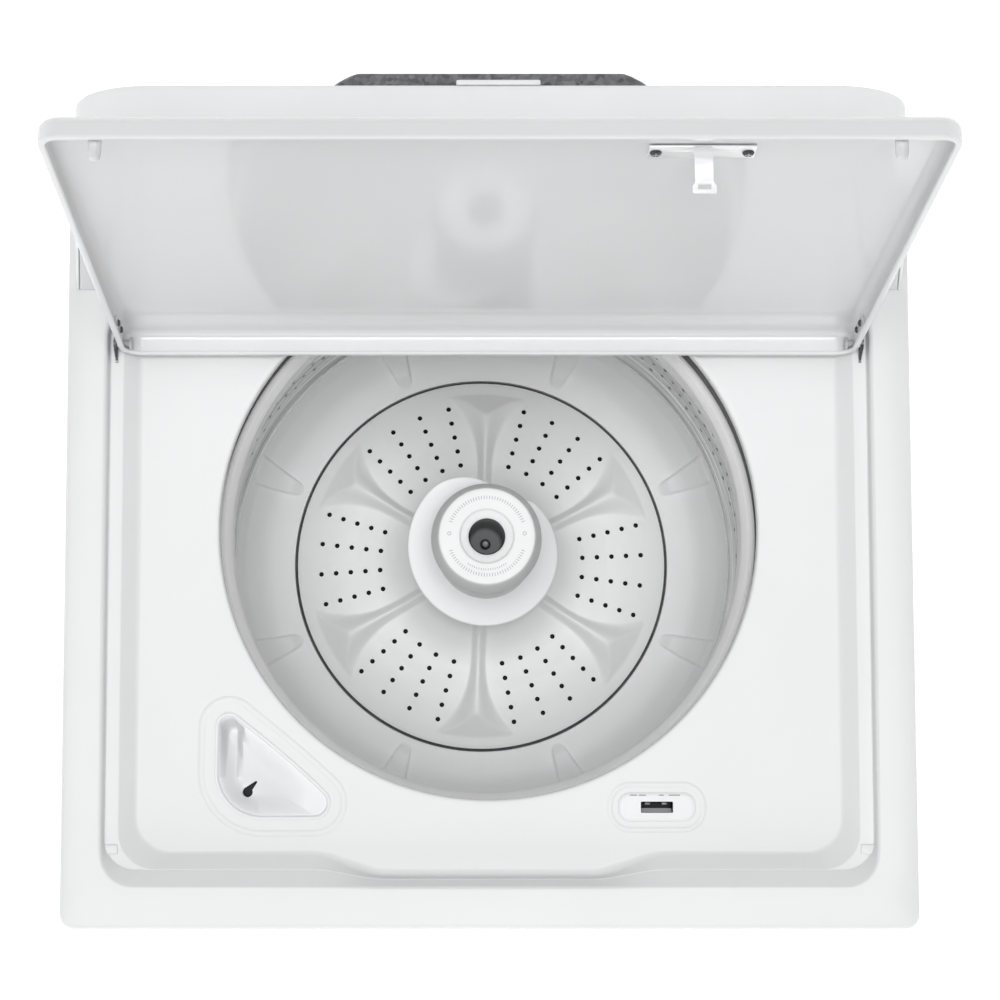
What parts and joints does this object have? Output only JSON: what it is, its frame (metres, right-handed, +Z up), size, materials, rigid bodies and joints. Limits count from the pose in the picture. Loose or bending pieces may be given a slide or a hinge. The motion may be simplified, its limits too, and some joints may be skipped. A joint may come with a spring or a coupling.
{
  "type": "top load washing machine",
  "caption": "Free-standing top load washer with an open lid, steel basket, centre agitator, rear console and belt drive under a hung tub.",
  "frame": {"origin": "middle of the footprint, on the floor under the levelling feet", "axes": "+Z up, front towards -Y, X to the right seen from the front"},
  "size_m": [0.6984, 0.686, 1.3353],
  "materials": {
    "white_enamel": "glossy white enamel",
    "white_plastic": "moulded, low sheen",
    "pale_plastic": "moulded, satin",
    "grey_plastic": "moulded, matte",
    "stainless": "brushed",
    "galvanised": "galvanised, spangled",
    "dark_steel": "blackened",
    "cast_aluminium": "as cast",
    "black_rubber": "matte",
    "circuit_board": "solder mask"
  },
  "bodies": {
    "cabinet": {"cabinet_shell": "white_enamel", "rear_panel": "galvanised", "base_frame": "galvanised", "levelling_foot_front_left": "grey_plastic", "levelling_foot_front_right": "grey_plastic", "levelling_foot_rear_left": "grey_plastic", "levelling_foot_rear_right": "grey_plastic", "suspension_frame": "galvanised", "suspension_rod_front_left": "dark_steel", "suspension_rod_front_right": "dark_steel", "suspension_rod_rear_left": "dark_steel", "suspension_rod_rear_right": "dark_steel", "deck_panel": "white_enamel", "bleach_dispenser": "white_plastic", "lid_lock_housing": "white_plastic", "hinge_bracket_left": "stainless", "hinge_bracket_right": "stainless", "console_housing": "white_plastic", "console_fascia": "white_plastic", "console_rear_cover": "galvanised", "console_clip": "white_plastic", "control_board": "circuit_board", "water_inlet_valve": "white_plastic", "cord_gland": "black_rubber", "water_fill_nozzle": "white_plastic", "drain_hose": "grey_plastic", "drain_port": "grey_plastic"},
    "tub": {"outer_tub": "pale_plastic", "tub_ring": "white_plastic", "tub_bearing": "stainless", "suspension_spring_front_left": "dark_steel", "suspension_spring_front_right": "dark_steel", "suspension_spring_rear_left": "dark_steel", "suspension_spring_rear_right": "dark_steel", "drive_plate": "galvanised", "gearcase": "cast_aluminium", "motor": "dark_steel", "drive_belt": "black_rubber", "drain_pump": "grey_plastic"},
    "basket": {"basket_wall": "stainless", "balance_ring": "pale_plastic", "basket_base": "white_plastic", "spin_tube": "stainless"},
    "agitator": {"wash_plate": "pale_plastic", "agitator_shaft": "stainless"},
    "auger": {"auger": "white_plastic", "softener_dispenser": "pale_plastic"},
    "pulley": {"drive_pulley": "cast_aluminium"},
    "motor_rotor": {"motor_pulley": "cast_aluminium"},
    "lid": {"lid_panel": "white_enamel", "lid_strike": "stainless", "hinge_pin_left": "stainless", "hinge_pin_right": "stainless", "lid_bumper_left": "pale_plastic", "lid_bumper_right": "pale_plastic"},
    "lock_bolt": {"lid_lock_bolt": "dark_steel"},
    "cycle_dial": {"cycle_knob": "pale_plastic"},
    "option_dial_left": {"option_knob_left": "pale_plastic"},
    "option_dial_right": {"option_knob_right": "pale_plastic"},
    "start_key": {"start_button": "pale_plastic"}
  },
  "joints": [
    {"name": "lid_hinge", "type": "hinge", "parent": "cabinet", "child": "lid", "pos_m": [0, 0.138, 0.911], "axis": [1, 0, 0], "range_deg": [0, 99.5]},
    {"name": "lid_lock_slide", "type": "slide", "parent": "cabinet", "child": "lock_bolt", "axis": [0, -1, 0], "range_m": [0, 0.0095], "stiffness_N_per_m": 60},
    {"name": "cycle_knob_turn", "type": "hinge", "parent": "cabinet", "child": "cycle_dial", "pos_m": [0.205, 0.20062, 0.9923], "axis": [0, -0.9741, 0.2262], "continuous": true},
    {"name": "option_knob_left_turn", "type": "hinge", "parent": "cabinet", "child": "option_dial_left", "pos_m": [-0.215, 0.20062, 0.9923], "axis": [0, -0.9741, 0.2262], "range_deg": [-60, 60]},
    {"name": "option_knob_right_turn", "type": "hinge", "parent": "cabinet", "child": "option_dial_right", "pos_m": [-0.1, 0.20062, 0.9923], "axis": [0, -0.9741, 0.2262], "range_deg": [-60, 60]},
    {"name": "start_button_press", "type": "slide", "parent": "cabinet", "child": "start_key", "axis": [0, 0.9741, -0.2262], "range_m": [0, 0.002], "stiffness_N_per_m": 600},
    {"name": "tub_suspension", "type": "slide", "parent": "cabinet", "child": "tub", "axis": [0, 0, 1], "range_m": [-0.02, 0.012], "stiffness_N_per_m": 16000, "springref_m": 0.0223, "deforming": ["suspension_spring_front_left", "suspension_spring_front_right", "suspension_spring_rear_left", "suspension_spring_rear_right"]},
    {"name": "basket_spin", "type": "hinge", "parent": "tub", "child": "basket", "pos_m": [0, -0.015, 0.5], "axis": [0, 0, 1], "continuous": true},
    {"name": "agitator_spin", "type": "hinge", "parent": "basket", "child": "agitator", "pos_m": [0, -0.015, 0.5], "axis": [0, 0, 1], "continuous": true},
    {"name": "auger_spin", "type": "hinge", "parent": "agitator", "child": "auger", "pos_m": [0, -0.015, 0.5], "axis": [0, 0, 1], "continuous": true},
    {"name": "drive_pulley_spin", "type": "hinge", "parent": "tub", "child": "pulley", "pos_m": [0, -0.015, 0.23], "axis": [0, 0, 1], "continuous": true},
    {"name": "motor_spin", "type": "hinge", "parent": "tub", "child": "motor_rotor", "pos_m": [0.165, -0.015, 0.23], "axis": [0, 0, 1], "continuous": true}
  ],
  "couplings": [
    {"joint": "drive_pulley_spin", "follows": "agitator_spin", "ratio": 1},
    {"joint": "motor_spin", "follows": "agitator_spin", "ratio": 5.2778}
  ]
}
